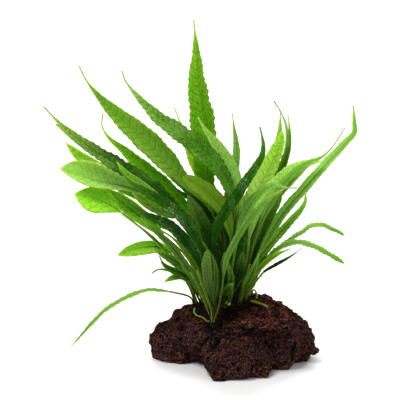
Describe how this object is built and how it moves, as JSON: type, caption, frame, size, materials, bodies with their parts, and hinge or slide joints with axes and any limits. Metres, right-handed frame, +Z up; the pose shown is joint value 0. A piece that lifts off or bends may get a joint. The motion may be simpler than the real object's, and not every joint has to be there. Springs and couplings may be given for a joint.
{
  "type": "java fern on stone",
  "caption": "Aquarium fern: a fan of long lance-shaped fronds rising from a creeping rhizome that is rooted to a rough lump of dark red-brown lava stone with a flat underside.",
  "frame": {"origin": "on the stone's flat underside, near the middle of its footprint", "axes": "+Z up, out of the stone; the pictured front faces -Y; +X to the right seen from the front"},
  "size_m": [0.1877, 0.1362, 0.2103],
  "materials": {
    "lava_stone": "rough porous lava stone, dark red-brown with near-black pores and rust patches",
    "rhizome": "green-brown creeping stem covered in dark scales, dull",
    "frond_deep": "deep green leathery leaf, wet semi-gloss, raised midrib and quilted side veins",
    "frond_mid": "mid green leathery leaf, wet semi-gloss, dark midrib",
    "frond_fresh": "fresh yellow-green leathery leaf, semi-gloss, darker midrib line",
    "frond_olive": "olive green leathery leaf, semi-gloss",
    "roots": "thin wiry black-brown root threads, dull"
  },
  "bodies": {
    "root": {"lava_stone": "lava_stone", "rhizome_main": "rhizome", "rhizome_front_fork": "rhizome", "rhizome_back_fork": "rhizome", "frond_left_arching": "frond_mid", "frond_left_small_drooping": "frond_fresh", "frond_left_low_curled": "frond_mid", "frond_left_low_pointed": "frond_mid", "frond_left_low_bright": "frond_fresh", "frond_left_front": "frond_mid", "frond_left_broad_lower": "frond_fresh", "frond_left_olive_outer": "frond_olive", "frond_left_olive_inner": "frond_olive", "frond_left_broad_upper": "frond_fresh", "frond_left_yellow_tip": "frond_fresh", "frond_left_glossy": "frond_deep", "frond_left_small_bright": "frond_fresh", "frond_left_long_dark": "frond_deep", "frond_left_hooked": "frond_mid", "frond_left_tall": "frond_fresh", "frond_left_dark_strap": "frond_deep", "frond_left_ribbed": "frond_mid", "frond_left_dark_folded": "frond_deep", "frond_top_tallest": "frond_mid", "frond_top_narrow": "frond_fresh", "frond_top_olive_blunt": "frond_olive", "frond_top_crossing": "frond_mid", "frond_top_pale_back": "frond_fresh", "frond_centre_dark_broad": "frond_deep", "frond_centre_dark_glossy": "frond_deep", "frond_top_upright": "frond_mid", "frond_top_dark_inner": "frond_deep", "frond_centre_dark_short": "frond_deep", "frond_front_spotted": "frond_mid", "frond_front_narrow": "frond_mid", "frond_front_long": "frond_mid", "frond_front_right": "frond_mid", "frond_right_bright_broad": "frond_fresh", "frond_right_upright_dark": "frond_mid", "frond_right_pale_tip": "frond_fresh", "frond_right_arched_pale": "frond_fresh", "frond_right_light_inner": "frond_fresh", "frond_right_whip_tip": "frond_mid", "frond_right_hooked": "frond_deep", "frond_right_long_kinked": "frond_mid", "frond_right_short_curved": "frond_mid", "frond_right_arching_upper": "frond_mid", "frond_right_arching_lower": "frond_mid", "frond_right_low_fresh": "frond_fresh", "frond_right_low_dark": "frond_deep", "frond_right_mid_broad": "frond_mid", "frond_right_inner_dark": "frond_deep", "frond_right_inner_low": "frond_deep", "frond_back_upright": "frond_mid", "frond_back_left": "frond_mid", "frond_back_right": "frond_deep", "frond_back_arching": "frond_fresh", "frond_front_short": "frond_mid", "young_frond_left_curl": "frond_fresh", "young_frond_front_curl": "frond_fresh"}
  },
  "joints": []
}
